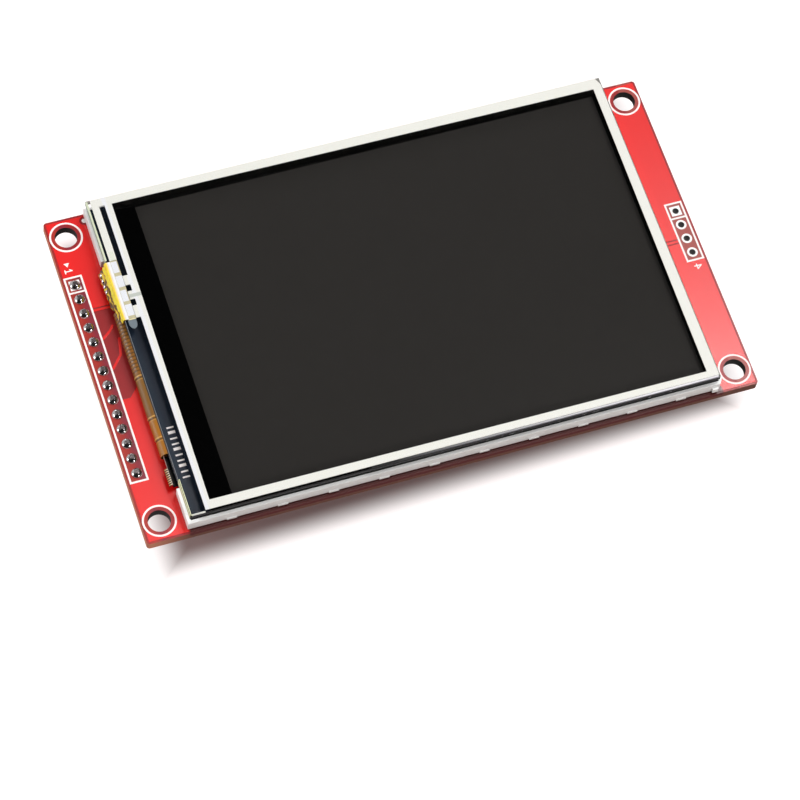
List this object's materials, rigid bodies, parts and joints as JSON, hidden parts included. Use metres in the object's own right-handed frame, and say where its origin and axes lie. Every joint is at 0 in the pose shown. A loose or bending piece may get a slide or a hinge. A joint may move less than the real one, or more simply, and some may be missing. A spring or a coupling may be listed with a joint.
{
  "type": "tft display module",
  "caption": "Colour TFT display module: a touch panel over a backlit glass display on a red carrier board, with a pin header and a memory-card socket underneath.",
  "frame": {"origin": "centre of the rectangle of mounting holes, on the laminate's top face", "axes": "+X along the board away from the pin header, +Y across it towards pin one, +Z out of the screen"},
  "size_m": [0.098, 0.0564, 0.0146],
  "materials": {
    "laminate": "red masked glass-epoxy board",
    "solder_mask": "glossy red solder mask over copper",
    "tinned_copper": "bright tin",
    "white_ink": "flat white print",
    "black_nylon": "satin black",
    "gold_plated_pin": "bright gold plate",
    "solder": "bright solder",
    "foam_tape": "white foam",
    "white_polycarbonate": "satin white",
    "dark_tape": "dark navy film",
    "optical_film": "milky film",
    "clear_acrylic": "clear, dotted underneath",
    "polyimide": "amber film",
    "lamp_resin": "pale yellow resin",
    "polariser": "dark grey film",
    "display_glass": "glass backed by the dark cell",
    "bare_silicon": "polished silicon",
    "gold_foil": "bright gold foil",
    "gasket_foam": "flat black",
    "panel_glass": "clear float glass",
    "border_ink": "white printed border",
    "clear_film": "clear hard-coated film",
    "socket_plastic": "satin black",
    "stamped_steel": "bright stamped sheet",
    "chip_plastic": "flat black epoxy",
    "tin_plate": "bright tin",
    "ceramic": "tan ceramic"
  },
  "bodies": {
    "root": {"circuit_board": "laminate", "ground_pour_top": "solder_mask", "ground_pour_bottom": "solder_mask", "signal_traces": "solder_mask", "alignment_dots": "tinned_copper", "board_legend": "white_ink", "header_pads": "tinned_copper", "storage_pads": "tinned_copper", "header_strip": "black_nylon", "header_pin_01": "gold_plated_pin", "header_pin_02": "gold_plated_pin", "header_pin_03": "gold_plated_pin", "header_pin_04": "gold_plated_pin", "header_pin_05": "gold_plated_pin", "header_pin_06": "gold_plated_pin", "header_pin_07": "gold_plated_pin", "header_pin_08": "gold_plated_pin", "header_pin_09": "gold_plated_pin", "header_pin_10": "gold_plated_pin", "header_pin_11": "gold_plated_pin", "header_pin_12": "gold_plated_pin", "header_pin_13": "gold_plated_pin", "header_pin_14": "gold_plated_pin", "header_solder": "solder", "mounting_tape": "foam_tape", "backlight_frame": "white_polycarbonate", "side_tape": "dark_tape", "reflector_sheet": "optical_film", "light_guide": "clear_acrylic", "diffuser_sheet": "optical_film", "prism_sheet": "optical_film", "lamp_strip": "polyimide", "backlight_lamps": "lamp_resin", "rear_polariser": "polariser", "rear_glass": "display_glass", "front_glass": "display_glass", "front_polariser": "polariser", "driver_chip": "bare_silicon", "ledge_tape": "dark_tape", "ledge_marks": "white_ink", "display_cable": "polyimide", "cable_solder": "solder", "cable_fingers": "gold_foil", "touch_gasket": "gasket_foam", "touch_glass": "panel_glass", "touch_border": "border_ink", "touch_film": "clear_film", "touch_tail": "gold_foil", "tail_contact_pads": "border_ink", "tail_solder": "solder", "socket_base": "socket_plastic", "socket_shell": "stamped_steel", "socket_contacts": "gold_plated_pin", "touch_controller": "chip_plastic", "voltage_regulator": "chip_plastic", "backlight_switch": "chip_plastic", "chip_leads": "tin_plate", "resistors": "chip_plastic", "capacitors": "ceramic", "chip_ends": "tin_plate"}
  },
  "joints": []
}
